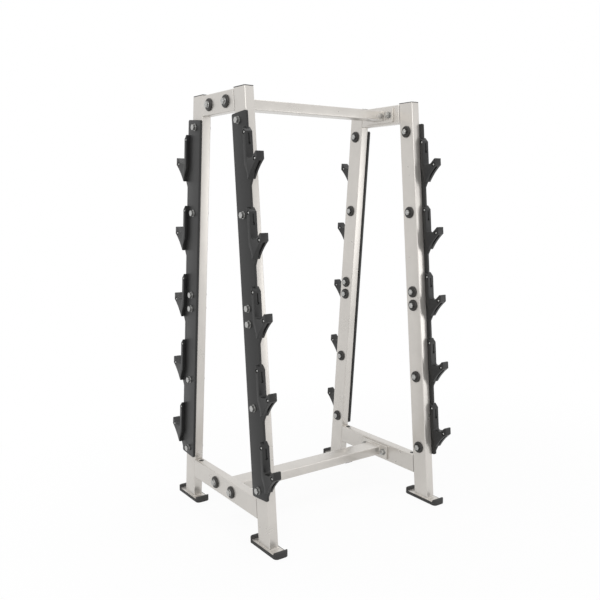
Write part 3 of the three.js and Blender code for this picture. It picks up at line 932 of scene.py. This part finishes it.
def nut_mesh():
    """The nut sunk in the bezel, closed by the end of the bolt, which stands a thread or two proud."""
    low, high = BEZEL_THICKNESS - BEZEL_WELL_DEPTH, BEZEL_THICKNESS + NUT_PROUD
    nut = hexagon(low, high - NUT_BELOW_TIP)
    profile = [(0, low), (SHANK, low), (SHANK, high - BOLT_TIP_HEIGHT), (BOLT_TIP, high), (0, high)]
    return joined("nut", [nut, lathe("bolt_end", profile, steps=32)])


def flange_nut_mesh():
    """The larger nut of the frame bolts, on a flange that fills the well of the bezel."""
    low, rim = BEZEL_THICKNESS - BEZEL_WELL_DEPTH, BEZEL_THICKNESS + FLANGE_PROUD
    flange = lathe("flange", [
        (0, low), (BEZEL_WELL, low), (BEZEL_WELL, rim - FLANGE_SLOPE),
        (HEX_FLATS / 2, rim + FLANGE_SLOPE), (0, rim + FLANGE_SLOPE)])
    nut = moved(nut_mesh(), Matrix.Translation((FLANGE_NUT_LIFT, 0, 0)))
    return joined("flange_nut", [flange, nut])


def bezel_mesh():
    """The black ring under a nut: domed, with a shallow well that the nut sits in."""
    rim, well, edge = BEZEL_RADIUS, BEZEL_WELL, BEZEL_WELL_EDGE
    top, floor = BEZEL_THICKNESS, BEZEL_THICKNESS - BEZEL_WELL_DEPTH
    profile = [(rim - BEZEL_FOOT[0], 0), (rim, BEZEL_FOOT[1]), (rim, BEZEL_SIDE)]
    for k in range(1, BEZEL_DOME_STEPS + 1):
        a = QUARTER * k / BEZEL_DOME_STEPS
        profile.append((rim - BEZEL_DOME * (1 - math.cos(a)), BEZEL_SIDE + (top - BEZEL_SIDE) * math.sin(a)))
    profile += [(well + edge, top), (well, top - edge), (well, floor), (SHANK, floor), (SHANK, 0)]
    return lathe("bezel", profile, steps=56)


def build_bolts():
    bezel, head, washer = bezel_mesh(), head_mesh(), washer_mesh()
    plain_nut, flange_nut = nut_mesh(), flange_nut_mesh()
    as_drawn, half_turn = Matrix.Identity(4), Matrix.Rotation(math.pi, 4, "Z")
    facing = {1: (as_drawn, half_turn), -1: (half_turn, as_drawn)}

    def bolt(name, nut, nutted, headed, stands_for):
        add(f"{name}_head", head, "fastener_steel", headed, stands_for)
        # The washer takes the darker steel, painted shade from the head over it
        add(f"{name}_washer", washer, "fastener_steel", headed, finish="washer_steel_painted_shade")
        add(f"{name}_bezel", bezel, "bezel_plastic", nutted)
        add(f"{name}_nut", nut, "fastener_steel", nutted)

    inside_x = FRAME_INNER_X - GAP
    outside_x = FRAME_HALF_WIDTH + 2 * GAP + PLATE_THICKNESS
    for end, side in CORNERS:
        way = across(end, side)
        outwards, inwards = facing[way]
        for i, height in enumerate(bolt_heights(), 1):
            inside = leaning_matrix(end) @ Matrix.Translation((way * inside_x, 0, height)) @ inwards
            outside = leaning_matrix(end) @ Matrix.Translation((way * outside_x, 0, height)) @ outwards
            node = [f"hook_plate_bolt_{end}_{side}"] if i == 1 else []
            bolt(f"plate_bolt_{end}_{side}_{i}", plain_nut, inside, outside, node)

    inside_x = FRAME_INNER_X - 2 * GAP - END_PLATE[0]
    outside_x = FRAME_HALF_WIDTH + GAP
    for level in ("top", "bottom"):
        z = crossmember_height(level)
        for side, way in (("left", -1), ("right", 1)):
            outwards, inwards = facing[way]
            for end, front in (("front", -1), ("rear", 1)):
                y = front * SPREADER_BOLT_PITCH / 2
                outside = Matrix.Translation((way * outside_x, y, z)) @ outwards
                inside = Matrix.Translation((way * inside_x, y, z)) @ inwards
                node = [f"spreader_bolt_{level}_{side}_{end}"]
                bolt(f"frame_bolt_{level}_{side}_{end}", flange_nut, outside, inside, node)


# Stage, light and camera

def bare_ray(nodes, links):
    """One on the rays that show the background, to the camera or in a reflection, and zero on the rest."""
    path = nodes.new("ShaderNodeLightPath")
    path.name = "path"
    seen = path.outputs["Is Camera Ray"]
    for kind in ("Is Glossy Ray", "Is Transmission Ray"):
        either = nodes.new("ShaderNodeMath")
        either.operation = "MAXIMUM"
        links.new(seen, either.inputs[0])
        links.new(path.outputs[kind], either.inputs[1])
        seen = either.outputs[0]
    return seen


def floor_white():
    """A pale floor that runs out to plain white, and takes the shadow of the rack round its feet."""
    material, nodes, links = new_material("floor_white")
    shader = nodes["Principled BSDF"]
    shader.inputs["Base Color"].default_value = (*FLOOR_COLOUR, 1)
    shader.inputs["Roughness"].default_value = FLOOR_ROUGHNESS
    shader.inputs["Specular IOR Level"].default_value = FLOOR_SPECULAR
    bare = bare_ray(nodes, links)
    place = nodes.new("ShaderNodeTexCoord")
    away = nodes.new("ShaderNodeVectorMath")
    away.operation = "DISTANCE"
    away.inputs[1].default_value = SHADOW_CENTRE
    links.new(place.outputs["Object"], away.inputs[0])
    fade = nodes.new("ShaderNodeMapRange")
    fade.interpolation_type = "SMOOTHSTEP"
    fade.inputs["From Min"].default_value, fade.inputs["From Max"].default_value = SHADOW_REACH
    near = nodes.new("ShaderNodeMapRange")
    near.inputs["To Min"].default_value = FLOOR_GLOW
    near.inputs["To Max"].default_value = FLOOR_GLOW_SEEN
    links.new(nodes["path"].outputs["Is Camera Ray"], near.inputs["Value"])
    links.new(near.outputs["Result"], fade.inputs["To Min"])
    links.new(away.outputs["Value"], fade.inputs["Value"])
    share = nodes.new("ShaderNodeMath")
    share.operation = "MULTIPLY"
    links.new(bare, share.inputs[0])
    links.new(fade.outputs["Result"], share.inputs[1])
    glow = nodes.new("ShaderNodeEmission")
    mix = nodes.new("ShaderNodeMixShader")
    links.new(share.outputs[0], mix.inputs["Fac"])
    links.new(shader.outputs["BSDF"], mix.inputs[1])
    links.new(glow.outputs["Emission"], mix.inputs[2])
    links.new(mix.outputs["Shader"], nodes["Material Output"].inputs["Surface"])
    return material


def build_stage():
    half = STAGE_SIZE / 2
    corners = [(-half, -half, 0), (half, -half, 0), (half, half, 0), (-half, half, 0)]
    floor = linked("floor", mesh_of("floor", corners, [(0, 1, 2, 3)]))
    floor.data.materials.append(floor_white())

    world = bpy.data.worlds.new("studio")
    world.use_nodes = True
    bpy.context.scene.world = world
    nodes, links = world.node_tree.nodes, world.node_tree.links
    background = nodes["Background"]
    background.inputs["Color"].default_value = (1, 1, 1, 1)
    level = nodes.new("ShaderNodeMapRange")
    level.inputs["To Min"].default_value = WORLD_LIGHT
    level.inputs["To Max"].default_value = 1.0
    links.new(bare_ray(nodes, links), level.inputs["Value"])
    links.new(level.outputs["Result"], background.inputs["Strength"])


def area_light(name, place, aim, size, power):
    data = bpy.data.lights.new(name, "AREA")
    data.shape = "DISK"
    data.size = size
    data.energy = power
    lamp = linked(name, data)
    lamp.location = place
    lamp.rotation_euler = (Vector(aim) - Vector(place)).to_track_quat("-Z", "Y").to_euler()


def build_lights():
    for name, (place, aim, size, power) in LAMPS.items():
        area_light(name, place, aim, size, power)


def build_camera():
    data = bpy.data.cameras.new("camera")
    data.lens = CAMERA_LENS
    data.clip_end = CAMERA_REACH
    camera = linked("camera", data)
    camera.location = CAMERA_PLACE
    camera.rotation_euler = (math.radians(90 - CAMERA_PITCH), 0, -math.radians(CAMERA_AZIMUTH))
    bpy.context.scene.camera = camera


build_camera()
build_stage()
build_lights()
build_frame()
build_feet()
build_hooks()
build_bolts()
bpy.context.scene.view_settings.view_transform = "Standard"
